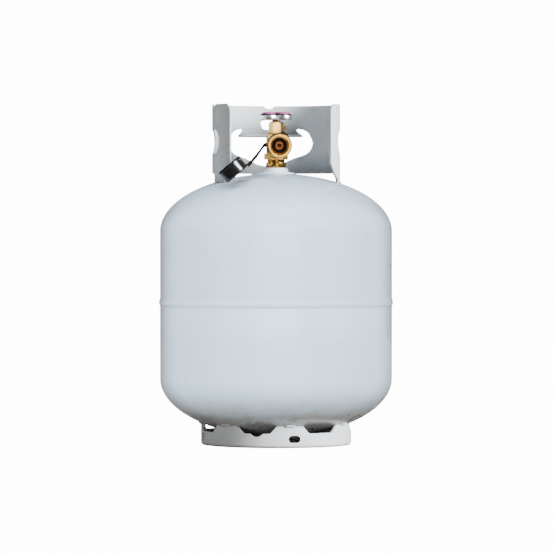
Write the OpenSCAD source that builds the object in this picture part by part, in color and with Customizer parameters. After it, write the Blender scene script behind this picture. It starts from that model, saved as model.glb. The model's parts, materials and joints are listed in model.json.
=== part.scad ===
// Steel cylinder for liquid fuel gas, with a guard collar, a foot ring and a brass outlet valve.
// +Z is up and -Y is the outlet side. The origin is the centre of the foot ring's bottom plane.
// All lengths are in millimetres.

/* [Tank] */
// Outside diameter of the shell
tank_d = 310; // [306:1:314]
// Height of the straight wall between the two domes
straight_len = 196; // [186:1:206]
// Thickness of the shell's sheet
shell_t = 2.2; // [2:0.1:2.6]
// Gap between the floor and the lowest point of the shell
floor_gap = 10.5; // [9:0.5:14]
// How far the girth weld stands proud
seam_proud = 1.3; // [0.8:0.1:1.8]

/* [Collar] */
// Outside diameter of the guard collar
collar_d = 171; // [166:1:176]
// Thickness of the collar's sheet
collar_t = 2.7; // [2:0.1:3]
// Height of the collar from its lower edge to its top
collar_h = 92; // [90:1:94]
// Half the front opening, as an angle about the axis
collar_gap = 52; // [48:1:56]

/* [Foot ring] */
// Outside diameter of the foot ring
foot_d = 201; // [196:1:206]
// Thickness of the foot ring's sheet
foot_t = 3; // [2.5:0.1:3.4]
// Number of scallops round the foot ring
scallops = 7; // [6:1:7]

/* [Valve] */
// Outside diameter of the outlet thread
outlet_d = 33.34; // [32:0.01:34]
// Distance from the tank axis to the outlet face
outlet_reach = 43; // [42:0.5:45]
// Clearance between moving valve pieces, on the radius
run_gap = 0.05; // [0.03:0.01:0.08]

/* [Handwheel] */
// Radius of one lobe of the handwheel
lobe_r = 12.5; // [11:0.5:13]
// Distance from the stem to the centre of a lobe
lobe_offset = 10.5; // [9:0.5:11]

/* [Cap] */
// Outside diameter of the dust cap
cap_d = 35.2; // [33.8:0.1:36]
// Length of the dust cap
cap_len = 18; // [15:0.5:19]

/* [Hidden] */
$fn = 72;

paint = [0.86, 0.88, 0.9];
brass = [0.78, 0.66, 0.4];
steel = [0.7, 0.71, 0.73];
black = [0.12, 0.12, 0.13];

r_tank = tank_d / 2;
dome_h = r_tank / 2;
z_low = floor_gap + dome_h;
z_high = z_low + straight_len;
z_seam = z_low + 0.524 * straight_len;
z_apex = z_high + dome_h;
lap = 10;

r_collar = collar_d / 2;
z_collar = z_apex;
z_rim = z_collar + collar_h;
hand_z = z_collar + 42;

r_foot = foot_d / 2;
foot_turn = -21.8;
tab_turn = 180 / scallops;

z_boss = z_apex + 7.5;
z_out = z_apex + 36.5;
z_body = z_out + 17;
z_wheel = z_out + 35;
bore_r = 8.5;
stem_r = 3.5;
bleed_x = 10.6;
bleed_y = 6.1;
dip_x = 8.57;
dip_y = 4.95;
z_relief = z_out - 11.5;
r_thread = outlet_d / 2;

z_pin = z_apex - 62;
arm_len = 42;

loop_y = -24.6;
cap_x = -65.1;
cap_y = -72;
cap_z = z_apex + 4;
cap_dir = [0.640, -0.075, -0.764];

module outline(grow) {
  r = r_tank + grow;
  h = dome_h + grow;
  translate([0, z_high]) scale([1, h / r]) circle(r, $fn = 360);
  translate([0, z_low]) scale([1, h / r]) circle(r, $fn = 360);
  translate([0, z_low]) square([r, z_high - z_low]);
}

module right_half(z0, z1) {
  translate([0, z0]) square([r_tank + 20, z1 - z0]);
}

module at_angle(a) {
  rotate([0, 0, a]) children();
}

module through_front(r0, r1) {
  rotate([90, 0, 0]) translate([0, 0, r0]) linear_extrude(height = r1 - r0) children();
}

module slot_2d(w, h) {
  hull_w = (w - h) / 2;
  translate([-hull_w, 0]) circle(h / 2);
  translate([hull_w, 0]) circle(h / 2);
  square([w - h, h], center = true);
}

module along_y(y0, y1, r) {
  translate([0, -y0, z_out]) rotate([90, 0, 0]) cylinder(r = r, h = y1 - y0);
}

module upper_head() {
  color(paint) rotate_extrude($fn = 144) difference() {
    intersection() {
      outline(0);
      right_half(z_seam, z_apex + 1);
    }
    outline(-shell_t);
    square([19, z_apex + 10]);
  }
}

module lower_head() {
  color(paint) rotate_extrude($fn = 144) {
    difference() {
      intersection() {
        outline(0);
        right_half(0, z_seam - 6);
      }
      outline(-shell_t);
    }
    polygon([[r_tank - shell_t, z_seam - 6.5], [r_tank, z_seam - 6],
             [r_tank - shell_t - 0.1, z_seam - 2], [r_tank - shell_t - 0.1, z_seam + lap],
             [r_tank - 2 * shell_t - 0.1, z_seam + lap],
             [r_tank - 2 * shell_t - 0.1, z_seam - 2.5]]);
  }
}

module seam_weld() {
  bead = 12.3;
  color(paint) rotate_extrude($fn = 144) {
    difference() {
      translate([r_tank + seam_proud - bead, z_seam - 1]) circle(bead);
      square([r_tank + 0.05, z_apex]);
    }
    polygon([[r_tank + 0.1, z_seam - 0.1], [r_tank - shell_t - 0.02, z_seam - 0.1],
             [r_tank - shell_t - 0.02, z_seam - 1.8], [r_tank + 0.1, z_seam - 5.8]]);
  }
}

module neck_boss() {
  color(paint) rotate_extrude() difference() {
    union() {
      translate([12.55, z_apex - 8]) square([6.35, 12]);
      translate([12.55, z_apex - 4]) square([11.45, 4.9]);
      translate([12.55, z_apex]) square([2.45, 7.5]);
      difference() {
        translate([14, z_apex]) square([7.5, 6.8]);
        translate([21.5, z_apex + 6.8]) circle(6.5);
      }
    }
    difference() {
      outline(0.05);
      square([18.9, z_apex + 10]);
    }
  }
}

module boss_weld() {
  color(paint) rotate_extrude() difference() {
    translate([24.05, z_apex - 2]) square([3.4, 2.9]);
    outline(0.03);
    translate([28.2, z_apex + 2.1]) circle(3.1);
  }
}

module collar_foot_gap(a0, a1) {
  w = r_collar * sin((a1 - a0) / 2);
  edge = 7;
  at_angle((a0 + a1) / 2) through_front(r_collar - 40, r_collar + 9) {
    translate([-w + edge, z_collar - 30]) square([2 * (w - edge), 30]);
    for (s = [-1, 1]) translate([s * (w - edge), z_collar - edge]) circle(edge);
    translate([-w, z_collar - 30]) square([2 * w, 30 - edge]);
  }
}

module wing_cut() {
  corner = 11;
  rotate([0, 0, -90]) rotate_extrude(angle = collar_gap - 5)
    translate([r_collar - 9, z_collar - 30]) square([18, collar_h + 60]);
  at_angle(collar_gap) through_front(r_collar - 12, r_collar + 9) {
    translate([-14, z_collar - 30]) square([14, collar_h + 60]);
    polygon([[-1, z_collar + 13], [0, z_collar + 13], [10.5, z_collar - 3],
             [12, z_collar - 7], [12, z_collar - 30], [-1, z_collar - 30]]);
    difference() {
      translate([-1, z_rim - corner]) square([corner + 1, corner + 1]);
      translate([corner, z_rim - corner + 0.25]) circle(corner);
    }
  }
}

module left_foot_cut() {
  mirror([1, 0, 0]) at_angle(collar_gap) through_front(r_collar - 12, r_collar + 9)
    polygon([[8.6, z_collar + 1.3], [13.4, z_collar - 3.2], [18.6, z_collar - 6.8],
             [20.8, z_collar - 12], [20.8, z_collar - 30], [8.6, z_collar - 30]]);
}

module back_opening() {
  zc = hand_z;
  polygon([[-57.5, zc + 3], [-58.7, zc - 1], [-57.5, zc - 6], [-54, zc - 12],
           [-49.5, zc - 15.5], [-41, zc - 18.6], [-32.5, zc - 21.4], [-25, zc - 24.8],
           [-17, zc - 28.8], [-9, zc - 30.8], [0, zc - 31.5], [9, zc - 30.8],
           [17, zc - 28.8], [25, zc - 24.8], [32.5, zc - 21.4], [41, zc - 18.6],
           [49.5, zc - 15.5], [54, zc - 12], [57.5, zc - 6], [58.7, zc - 1],
           [57.5, zc + 3], [54, zc + 12], [47, zc + 16.8], [39, zc + 18.5],
           [36, zc + 16], [-36, zc + 16], [-39, zc + 18.5], [-47, zc + 16.8],
           [-54, zc + 12]]);
}

module grip_lip() {
  roll = 8;
  r_mid = r_collar - collar_t / 2 - roll;
  intersection() {
    rotate([0, 0, 50]) rotate_extrude(angle = 80) difference() {
      translate([r_mid, hand_z + 16.8]) circle(roll + collar_t / 2 - 0.08);
      translate([r_mid, hand_z + 16.8]) circle(roll - collar_t / 2 + 0.08);
      translate([r_mid - 20, hand_z + 16.8]) square([40, 20]);
      translate([r_mid - 20, hand_z - 10]) square([20 - 5.5, 40]);
    }
    at_angle(180) through_front(r_collar - 30, r_collar + 9)
      polygon([[-36.6, hand_z + 16.9], [-48.5, hand_z + 7], [48.5, hand_z + 7],
               [36.6, hand_z + 16.9]]);
  }
}

module rim_notch() {
  polygon([[-8.4, z_rim + 1], [-3.6, z_rim - 3.3], [-1.3, z_rim - 3.9],
           [1.3, z_rim - 3.9], [3.6, z_rim - 3.3], [8.4, z_rim + 1]]);
}

module collar() {
  color(paint) {
    difference() {
      rotate_extrude($fn = 144) difference() {
        translate([r_collar - collar_t, z_collar - 20]) square([collar_t, collar_h + 20]);
        outline(0.05);
      }
      wing_cut();
      mirror([1, 0, 0]) wing_cut();
      left_foot_cut();
      collar_foot_gap(80, 168);
      collar_foot_gap(192, 280);
      at_angle(180) through_front(r_collar - 20, r_collar + 9) back_opening();
      at_angle(180) through_front(r_collar - 9, r_collar + 9) {
        polygon([[-12, hand_z + 28], [-8, hand_z + 30.5], [8, hand_z + 30.5],
                 [12, hand_z + 28], [9, hand_z + 20], [6, hand_z + 18],
                 [-6, hand_z + 18], [-9, hand_z + 20]]);
      }
      for (a = [90, -90]) at_angle(a) through_front(r_collar - 12, r_collar + 9)
        translate([0, hand_z]) slot_2d(61, 32);
      for (a = [82, 180, -82]) at_angle(a) through_front(r_collar - 9, r_collar + 9)
        rim_notch();
    }
    grip_lip();
  }
}

module collar_welds() {
  color(paint) for (a = [[62, 78], [172, 188], [282, 291]]) {
    rotate([0, 0, a[0] - 90]) rotate_extrude(angle = a[1] - a[0]) {
      difference() {
        translate([r_collar + 0.03, z_collar - 18]) square([3.4, 8]);
        outline(0.03);
        translate([r_collar + 4.6, z_collar - 9.3]) circle(4.4);
        translate([r_collar + 0.5, z_collar - 9.8]) square([5, 5]);
      }
    }
  }
}

module foot_ring() {
  bend = 3.6;
  color(paint) difference() {
    rotate_extrude($fn = 144) difference() {
      union() {
        translate([r_foot - foot_t, bend]) square([foot_t, 40]);
        difference() {
          translate([r_foot - bend, bend]) circle(bend);
          translate([r_foot - bend, bend]) circle(bend - foot_t);
          translate([r_foot - 2 * bend - 1, 0]) square([bend + 1, 2 * bend]);
          translate([r_foot - bend, bend]) square([bend + 1, bend + 1]);
        }
        translate([r_foot - bend - 4, 0]) square([4, foot_t]);
      }
      outline(0.05);
      translate([0, 40]) square([r_tank, 60]);
    }
    for (i = [0 : scallops - 1]) at_angle(foot_turn + i * 360 / scallops)
      through_front(r_foot - 12, r_foot + 9) {
        polygon([[-27.6, 29.5], [-18.4, 18.8], [18.4, 18.8], [27.6, 29.5],
                 [27.6, 45], [-27.6, 45]]);
      }
    at_angle(foot_turn) through_front(r_foot - 12, r_foot + 9)
      intersection() {
        translate([0, 26.1]) circle(11.6);
        translate([-12, 10]) square([24, 12]);
      }
    for (i = [0 : 3]) at_angle(7.4 + 90 * i) through_front(r_foot - 12, r_foot + 9)
      translate([0, 11.5]) slot_2d(16, 9.4);
  }
}

module foot_ring_welds() {
  color(paint) for (i = [0 : scallops - 1])
    rotate([0, 0, foot_turn + tab_turn + i * 360 / scallops - 90 - 3.7])
      rotate_extrude(angle = 7.4) difference() {
        translate([r_foot + 0.03, 25.5]) square([5.6, 8.5]);
        outline(0.03);
        translate([r_foot + 6.4, 24.2]) circle(5);
      }
}

module thread_grooves() {
  pitch = 4.2;
  for (i = [0 : 2]) translate([0, -outlet_reach + 3.4 + i * pitch, z_out])
    rotate([90, 0, 0]) translate([0, 0, -1.5]) rotate_extrude()
      polygon([[r_thread + 1, -0.4], [r_thread, 0], [r_thread - 1.5, 0.5],
               [r_thread - 1.5, 2.1], [r_thread, 2.6], [r_thread + 1, 3]]);
}

module valve_body() {
  color(brass) difference() {
    union() {
      translate([0, 0, z_apex - 11]) cylinder(r = 12.5, h = 19);
      translate([0, 0, z_boss + 0.1]) cylinder(r = 13.6, h = 7);
      translate([0, 0, z_boss + 4]) cylinder(r = 11.6, h = 10);
      translate([0, 0, z_out - 18]) cylinder(r = 16.2, h = 8, $fn = 6);
      translate([0, 0, z_out - 11]) cylinder(r = 13, h = 27);
      translate([0, 0, z_out + 16]) cylinder(r1 = 13, r2 = 12, h = 1);
      along_y(0, outlet_reach - 16, 12);
      along_y(outlet_reach - 16.6, outlet_reach - 1.2, r_thread);
      translate([0, -outlet_reach + 1.2, z_out]) rotate([90, 0, 0])
        cylinder(r1 = r_thread, r2 = r_thread - 1.8, h = 1.2);
      translate([0, 0, z_relief - z_out]) along_y(-26, 0, 10.5);
      translate([bleed_x, bleed_y, z_out + 2]) cylinder(r = 3.3, h = 16.5);
    }
    thread_grooves();
    translate([0, 0, z_apex - 12]) cylinder(r = 5, h = 50);
    translate([0, 0, z_out - 6]) cylinder(r = bore_r, h = 24);
    along_y(0, 20, 4);
    along_y(18, outlet_reach + 1, 7.6);
    along_y(outlet_reach - 12, outlet_reach + 1, 10);
    translate([0, -outlet_reach + 2.6, z_out]) rotate([90, 0, 0])
      cylinder(r1 = 10, r2 = 12.8, h = 2.65);
    translate([0, 0, z_relief - z_out]) {
      along_y(-15, 0, 3.6);
      along_y(-27, -14, 7.6);
    }
    translate([bleed_x, bleed_y, z_out]) cylinder(r = 1.5, h = 20);
    translate([dip_x, dip_y, z_apex]) cylinder(r = 1, h = z_out - z_apex + 8);
    translate([dip_x, dip_y, z_apex - 12]) cylinder(r = 2.05, h = 14);
  }
}

module bonnet_nut() {
  color(brass) difference() {
    union() {
      translate([0, 0, z_body - 6]) cylinder(r = bore_r - 0.05, h = 7);
      translate([0, 0, z_body + 0.05]) cylinder(r = 10.2, h = 15, $fn = 6);
      translate([0, 0, z_body + 14]) cylinder(r1 = 8.4, r2 = 6.4, h = 2.3);
    }
    translate([0, 0, z_body - 7]) cylinder(r = stem_r, h = 30);
    translate([0, 0, z_body + 3]) cylinder(r = 5.2, h = 2);
    translate([0, 0, z_body + 13.1]) difference() {
      cylinder(r = 12, h = 3);
      translate([0, 0, -0.1]) cylinder(r1 = 10.4, r2 = 7.6, h = 3.2);
    }
  }
}

module stem_o_ring() {
  color(black) translate([0, 0, z_body + 4]) rotate_extrude()
    translate([4.35, 0]) circle(0.78);
}

module upper_stem() {
  color(brass) {
    translate([0, 0, z_body - 9.4]) cylinder(r = 6, h = 3);
    translate([0, 0, z_body - 9.4]) cylinder(r = stem_r - run_gap, h = z_wheel - z_body + 16);
    translate([-3, -1.1, z_body - 15.5]) cube([6, 2.2, 6.5]);
  }
}

module seat_plug() {
  color(brass) difference() {
    translate([0, 0, z_out - 4.2]) cylinder(r = bore_r - run_gap, h = 8.6);
    translate([-3.4, -1.25, z_out - 1.2]) cube([6.8, 2.5, 8]);
    translate([0, 0, z_out - 5]) cylinder(r = 6.3, h = 2.2);
  }
}

module seat_disc() {
  color(black) translate([0, 0, z_out - 5.95]) cylinder(r = 6.25, h = 3.1);
}

module wheel_2d(r, off) {
  for (i = [0 : 2]) rotate(-38 + 120 * i) translate([off, 0]) circle(r);
  circle(off);
}

module handwheel() {
  color(steel) difference() {
    union() {
      translate([0, 0, z_wheel]) linear_extrude(height = 7) wheel_2d(lobe_r, lobe_offset);
      translate([0, 0, z_wheel + 7]) linear_extrude(height = 1)
        wheel_2d(lobe_r - 0.8, lobe_offset);
      translate([0, 0, z_wheel - 1.6]) cylinder(r = 6.6, h = 4);
    }
    translate([0, 0, z_wheel - 3]) cylinder(r = stem_r, h = 20);
    translate([0, 0, z_wheel - 0.1]) difference() {
      linear_extrude(height = 4.6) wheel_2d(lobe_r - 2.4, lobe_offset);
      cylinder(r = 7.6, h = 12);
    }
    translate([0, 0, z_wheel + 7]) linear_extrude(height = 2)
      wheel_2d(lobe_r - 3, lobe_offset);
  }
}

module handwheel_disc() {
  color([0.75, 0.3, 0.55]) difference() {
    translate([0, 0, z_wheel + 7.02]) linear_extrude(height = 2.2)
      wheel_2d(lobe_r - 3.05, lobe_offset);
    translate([0, 0, z_wheel + 6]) cylinder(r = 5.2, h = 5);
  }
}

module handwheel_screw() {
  color(steel) difference() {
    translate([0, 0, z_wheel + 7.05]) cylinder(r = 5.1, h = 2.6);
    translate([-4, -0.6, z_wheel + 8.6]) cube([8, 1.2, 3]);
  }
}

module check_retainer() {
  color(brass) translate([0, -outlet_reach + 11.95, z_out]) rotate([90, 0, 0]) difference() {
    cylinder(r = 9.95, h = 4);
    translate([0, 0, -1]) cylinder(r = 5, h = 6);
    for (i = [0 : 2]) rotate([0, 0, 120 * i + 30]) translate([7.4, 0, -1])
      cylinder(r = 1, h = 6);
  }
}

module outlet_seal() {
  color(black) translate([0, -outlet_reach + 7.9, z_out]) rotate([90, 0, 0]) difference() {
    cylinder(r = 9.9, h = 2.2);
    translate([0, 0, -1]) cylinder(r = 6, h = 4);
  }
}

module check_poppet() {
  color(brass) translate([0, -outlet_reach + 15.1, z_out]) rotate([90, 0, 0]) difference() {
    union() {
      cylinder(r = 7, h = 3.1);
      cylinder(r = 5 - run_gap, h = 10);
    }
    translate([0, 0, 5]) cylinder(r = 2.25, h = 6);
    translate([0, 0, 9]) cylinder(r1 = 2.25, r2 = 3.3, h = 1.05);
  }
}

module coils(r, wire, turns, len) {
  pitch = len / turns;
  for (i = [0 : turns]) translate([0, 0, i * pitch]) rotate_extrude()
    translate([r, 0]) circle(wire);
  for (i = [0 : turns - 1]) rotate([0, 0, 180 * (i % 2)])
    translate([r, 0, i * pitch]) cylinder(r = wire * 0.7, h = pitch, $fn = 16);
}

module check_spring() {
  color(steel) translate([0, -18.7, z_out]) rotate([90, 0, 0]) coils(6, 0.55, 4, 8);
}

module relief_cap() {
  color(brass) translate([0, 27, z_relief]) rotate([90, 0, 0]) difference() {
    union() {
      cylinder(r = 7.55, h = 5.5);
      cylinder(r = 9.2, h = 0.95);
    }
    translate([0, 0, -1]) cylinder(r = 3.2, h = 7);
    for (i = [0 : 3]) rotate([0, 0, 90 * i]) translate([5.3, 0, -1])
      cylinder(r = 1, h = 7);
  }
}

module relief_poppet() {
  color(brass) translate([0, 14.1, z_relief]) rotate([-90, 0, 0]) {
    cylinder(r = 7.5, h = 1.6);
    cylinder(r = 3, h = 5.2);
  }
}

module relief_spring() {
  color(steel) translate([0, 16.3, z_relief]) rotate([-90, 0, 0]) coils(5, 0.55, 3, 4.5);
}

module bleeder_screw() {
  color(brass) translate([bleed_x, bleed_y, z_out]) {
    translate([0, 0, 8]) cylinder(r = 1.45, h = 12);
    translate([0, 0, 18.6]) cylinder(r = 2.6, h = 2.4);
    translate([0, 0, 20.6]) cylinder(r = 1.7, h = 2);
    difference() {
      translate([0, 0, 22]) cylinder(r = 2.9, h = 6);
      translate([-4, -0.4, 27]) cube([8, 0.8, 2]);
    }
  }
}

module dip_tube() {
  color(steel) translate([dip_x, dip_y, z_apex - 84]) difference() {
    cylinder(r = 2, h = 84);
    translate([0, 0, -1]) cylinder(r = 1.2, h = 86);
  }
}

module stop_housing() {
  color(brass) difference() {
    union() {
      translate([0, 0, z_apex - 18]) cylinder(r = 4.95, h = 12);
      translate([0, 0, z_apex - 52]) cylinder(r = 7.2, h = 40.9);
      for (s = [-1, 1]) translate([s * 4.6 - 1.3, -3.6, z_pin - 4]) cube([2.6, 7.2, 15]);
    }
    translate([0, 0, z_apex - 60]) cylinder(r = 5, h = 45);
    translate([0, 0, z_apex - 20]) cylinder(r = 3, h = 20);
    for (s = [0, 90]) rotate([0, 0, s]) translate([0, 10, z_apex - 22])
      rotate([90, 0, 0]) cylinder(r = 2, h = 20);
    translate([-10, 0, z_pin]) rotate([0, 90, 0]) cylinder(r = 1.5, h = 20);
  }
}

module stop_piston() {
  color(brass) {
    translate([0, 0, z_apex - 38]) cylinder(r = 4.95, h = 12);
    translate([0, 0, z_apex - 26.5]) cylinder(r = 2.2, h = 4);
    translate([0, 0, z_pin + 4.9]) cylinder(r = 1.4, h = 20);
  }
}

module float_pin() {
  color(steel) translate([-6.2, 0, z_pin]) rotate([0, 90, 0]) cylinder(r = 1.45, h = 12.4);
}

module float_arm() {
  color(steel) translate([0, 0, z_pin]) difference() {
    union() {
      rotate([90, 0, 90]) translate([0, 0, -2.6]) linear_extrude(height = 5.2) {
        circle(3.2);
        polygon(concat([[0, 0]], [for (t = [0 : 15 : 75])
          (3.9 + 0.04 * t) * [sin(t), cos(t)]]));
        translate([-1.5, -10]) square([3, 10]);
      }
      translate([0, 0, -arm_len]) cylinder(r = 1.5, h = arm_len - 5);
    }
    translate([-5, 0, 0]) rotate([0, 90, 0]) cylinder(r = 1.55, h = 10);
  }
}

module float() {
  color(black) translate([0, 0, z_pin - arm_len - 32]) difference() {
    union() {
      translate([0, 0, 2]) cylinder(r = 10.5, h = 46);
      cylinder(r1 = 8.5, r2 = 10.5, h = 2);
      translate([0, 0, 48]) cylinder(r1 = 10.5, r2 = 8.5, h = 2);
    }
    translate([0, 0, 31.9]) cylinder(r = 1.55, h = 20);
  }
}

cap_tilt = acos(cap_dir[2]);
cap_spin = atan2(cap_dir[1], cap_dir[0]);

module in_cap() {
  translate([cap_x, cap_y, cap_z]) rotate([0, 0, cap_spin]) rotate([0, cap_tilt, 0])
    children();
}

module dust_cap() {
  r = cap_d / 2;
  color(black) in_cap() rotate_extrude() difference() {
    polygon([[0, -cap_len / 2], [r - 0.6, -cap_len / 2], [r, -cap_len / 2 + 1],
             [r, cap_len / 2 - 1.4], [r - 1.2, cap_len / 2], [0, cap_len / 2]]);
    translate([0, -cap_len / 2 + 2]) square([r - 1.6, cap_len - 3.6]);
    translate([0, -cap_len / 2 - 1]) square([r - 3.4, 4]);
  }
}

strap_a = [-44.6, -73.4, z_apex + 10.6];
strap_b = [-19.2, loop_y - 0.4, z_out + 1.5];

module cap_strap() {
  d = strap_b - strap_a;
  len = norm(d);
  w0 = 4.7;
  w1 = 3.8;
  color(black) translate(strap_a) rotate([0, 0, atan2(d[1], d[0])])
    rotate([0, acos(d[2] / len), 0]) rotate([0, 0, 40]) rotate([90, 0, 0])
      translate([0, 0, -0.9]) linear_extrude(height = 1.8)
        polygon([[-w0 / 2, 0], [w0 / 2, 0], [w1 / 2, len], [-w1 / 2, len]]);
}

module strap_loop() {
  color(black) translate([0, loop_y + 1.1, z_out]) rotate([90, 0, 0])
    linear_extrude(height = 2.2) difference() {
      union() {
        circle(14.5);
        rotate(61) translate([13, -4.6]) square([6.2, 9.2]);
        rotate(61) translate([18.4, 0]) square([4, 7.2], center = true);
        rotate(176) translate([13, -2.6]) square([4.2, 5.2]);
      }
      circle(12.05);
    }
}

upper_head();
lower_head();
seam_weld();
neck_boss();
boss_weld();
collar();
collar_welds();
foot_ring();
foot_ring_welds();
valve_body();
bonnet_nut();
stem_o_ring();
upper_stem();
seat_plug();
seat_disc();
handwheel();
handwheel_disc();
handwheel_screw();
check_retainer();
outlet_seal();
check_poppet();
check_spring();
relief_cap();
relief_spring();
relief_poppet();
bleeder_screw();
dip_tube();
stop_housing();
stop_piston();
float_arm();
float();
float_pin();
dust_cap();
cap_strap();
strap_loop();
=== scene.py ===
import bpy
import bmesh
import json
import math
import random
from mathutils import Matrix, Vector, geometry

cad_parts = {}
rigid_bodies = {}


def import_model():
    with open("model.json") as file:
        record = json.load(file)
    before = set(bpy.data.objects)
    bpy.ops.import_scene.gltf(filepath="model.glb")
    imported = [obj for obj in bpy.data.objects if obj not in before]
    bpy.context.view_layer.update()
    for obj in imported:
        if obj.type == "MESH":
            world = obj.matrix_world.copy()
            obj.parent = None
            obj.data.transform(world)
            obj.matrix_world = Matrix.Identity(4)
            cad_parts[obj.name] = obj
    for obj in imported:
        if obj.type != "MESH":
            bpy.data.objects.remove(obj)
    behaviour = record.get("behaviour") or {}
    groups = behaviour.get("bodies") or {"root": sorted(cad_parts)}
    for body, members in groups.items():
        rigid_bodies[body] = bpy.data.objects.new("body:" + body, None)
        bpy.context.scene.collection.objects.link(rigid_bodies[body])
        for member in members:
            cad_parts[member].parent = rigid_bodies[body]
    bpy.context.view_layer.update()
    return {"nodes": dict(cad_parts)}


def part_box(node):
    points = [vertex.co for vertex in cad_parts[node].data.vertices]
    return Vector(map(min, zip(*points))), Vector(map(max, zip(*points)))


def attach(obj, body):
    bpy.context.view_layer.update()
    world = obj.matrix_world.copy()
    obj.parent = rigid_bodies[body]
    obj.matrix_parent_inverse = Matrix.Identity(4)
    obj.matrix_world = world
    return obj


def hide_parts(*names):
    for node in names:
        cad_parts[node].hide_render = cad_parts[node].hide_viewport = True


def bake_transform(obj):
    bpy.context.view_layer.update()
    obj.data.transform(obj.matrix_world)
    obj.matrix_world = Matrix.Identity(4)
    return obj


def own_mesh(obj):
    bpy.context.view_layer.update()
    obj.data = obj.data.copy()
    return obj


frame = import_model()
MM = 0.001
TAU = 2 * math.pi

# ---- sizes, some from the imported nodes, in millimetres ------------------------------------


def cad(node):
    low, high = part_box(node)
    return low / MM, high / MM


# the shell: its radius, the dome's height, the domes' edges, the girth seam and the dome's top
NECK_RISE = 7.5
R = cad("upper_head")[1].x
H = R / 2
Z_APEX = cad("neck_boss")[1].z - NECK_RISE
Z_HIGH = Z_APEX - H
Z_LOW = cad("lower_head")[0].z + H
Z_SEAM = cad("upper_head")[0].z
# sheet thickness of the shell, the collar and the foot ring
T = 2.2
TC = 2.7
TF = 3.0
# the collar: radius, rim, lower edge, and the height of its hand holes
COLLAR_H = 92
RC = cad("collar")[1].x
Z_RIM = cad("collar")[1].z
ZC = Z_RIM - COLLAR_H
HAND = ZC + 42
# the foot ring's radius, the outlet's axis and the handwheel's lower edge
RF = cad("foot_ring")[1].x
Z_OUT = Z_APEX + 36.5
Z_WHEEL = cad("handwheel")[0].z + 1.6
# the handwheel's lobes: radius, distance from the stem, and where the first one points
LOBE_R = 12.5
LOBE_OFFSET = 10.5
LOBE_TURN = -38
LOBE_STEPS = 144
# brightness of the backdrop, and of the room before and behind the object
WHITE = 14.0
ROOM_FRONT = 0.16
ROOM_BACK = 0.05


def dome_top(r):
    return Z_HIGH + H * math.sqrt(max(0.0, 1 - (r / R) ** 2))


def dome_bottom(r):
    return Z_LOW - H * math.sqrt(max(0.0, 1 - (r / R) ** 2))


# ---- materials ----------------------------------------------------------------------------


class Mat:
    def __init__(self, name):
        self.m = bpy.data.materials.new(name)
        self.m.use_nodes = True
        self.nt = self.m.node_tree
        self.nt.nodes.clear()
        self.out = self.add("ShaderNodeOutputMaterial")
        self.bsdf = self.add("ShaderNodeBsdfPrincipled")
        self.link(self.bsdf.outputs[0], self.out.inputs[0])
        self.co = self.add("ShaderNodeTexCoord").outputs["Object"]

    def add(self, kind, **values):
        n = self.nt.nodes.new(kind)
        for k, v in values.items():
            if hasattr(n, k):
                setattr(n, k, v)
            else:
                n.inputs[k.replace("_", " ")].default_value = v
        return n

    def link(self, a, b):
        self.nt.links.new(a, b)

    def noise(self, scale, detail=3.0, rough=0.5, stretch=None):
        n = self.add("ShaderNodeTexNoise")
        n.inputs["Scale"].default_value = scale
        n.inputs["Detail"].default_value = detail
        n.inputs["Roughness"].default_value = rough
        source = self.co
        if stretch:
            mp = self.add("ShaderNodeMapping")
            mp.inputs["Scale"].default_value = stretch
            self.link(self.co, mp.inputs[0])
            source = mp.outputs[0]
        self.link(source, n.inputs["Vector"])
        return n.outputs["Fac"]

    def span(self, fac, a0, a1, b0, b1):
        n = self.add("ShaderNodeMapRange")
        for i, v in enumerate((a0, a1, b0, b1)):
            n.inputs[i + 1].default_value = v
        self.link(fac, n.inputs[0])
        return n.outputs[0]

    def math(self, op, a, b=None):
        n = self.add("ShaderNodeMath", operation=op)
        for i, v in enumerate((a, b)):
            if v is None:
                continue
            if isinstance(v, (int, float)):
                n.inputs[i].default_value = v
            else:
                self.link(v, n.inputs[i])
        return n.outputs[0]

    def mix(self, fac, a, b):
        n = self.add("ShaderNodeMix", data_type="RGBA")
        if isinstance(fac, (int, float)):
            n.inputs[0].default_value = fac
        else:
            self.link(fac, n.inputs[0])
        for i, v in ((6, a), (7, b)):
            if isinstance(v, tuple):
                n.inputs[i].default_value = (*v, 1)
            else:
                self.link(v, n.inputs[i])
        return n.outputs[2]

    def bump(self, height, strength, distance, normal=None):
        n = self.add("ShaderNodeBump")
        n.inputs["Strength"].default_value = strength
        n.inputs["Distance"].default_value = distance
        self.link(height, n.inputs["Height"])
        if normal:
            self.link(normal, n.inputs["Normal"])
        return n.outputs[0]

    def edges(self, radius):
        """1 along sharp edges, 0 on open faces."""
        bevel = self.add("ShaderNodeBevel", samples=4)
        bevel.inputs["Radius"].default_value = radius
        geo = self.add("ShaderNodeNewGeometry")
        dot = self.add("ShaderNodeVectorMath", operation="DOT_PRODUCT")
        self.link(bevel.outputs[0], dot.inputs[0])
        self.link(geo.outputs["Normal"], dot.inputs[1])
        return self.span(dot.outputs["Value"], 0.995, 0.82, 0.0, 1.0)

    def grazing(self):
        """1 where a wall turns away from the eye, 0 face on and on level surfaces."""
        weight = self.add("ShaderNodeLayerWeight")
        weight.inputs["Blend"].default_value = 0.5
        geo = self.add("ShaderNodeNewGeometry")
        parts = self.add("ShaderNodeSeparateXYZ")
        self.link(geo.outputs["Normal"], parts.inputs[0])
        wall = self.span(parts.outputs[2], 0.6, 0.9, 1.0, 0.0)
        return self.math("MULTIPLY", self.span(weight.outputs["Facing"], 0.52, 0.92, 0, 1), wall)

    def set(self, **sockets):
        for k, v in sockets.items():
            s = self.bsdf.inputs[k.replace("_", " ")]
            if isinstance(v, (int, float)):
                s.default_value = v
            elif isinstance(v, tuple):
                s.default_value = (*v, 1) if len(v) == 3 else v
            else:
                self.link(v, s)


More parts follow.
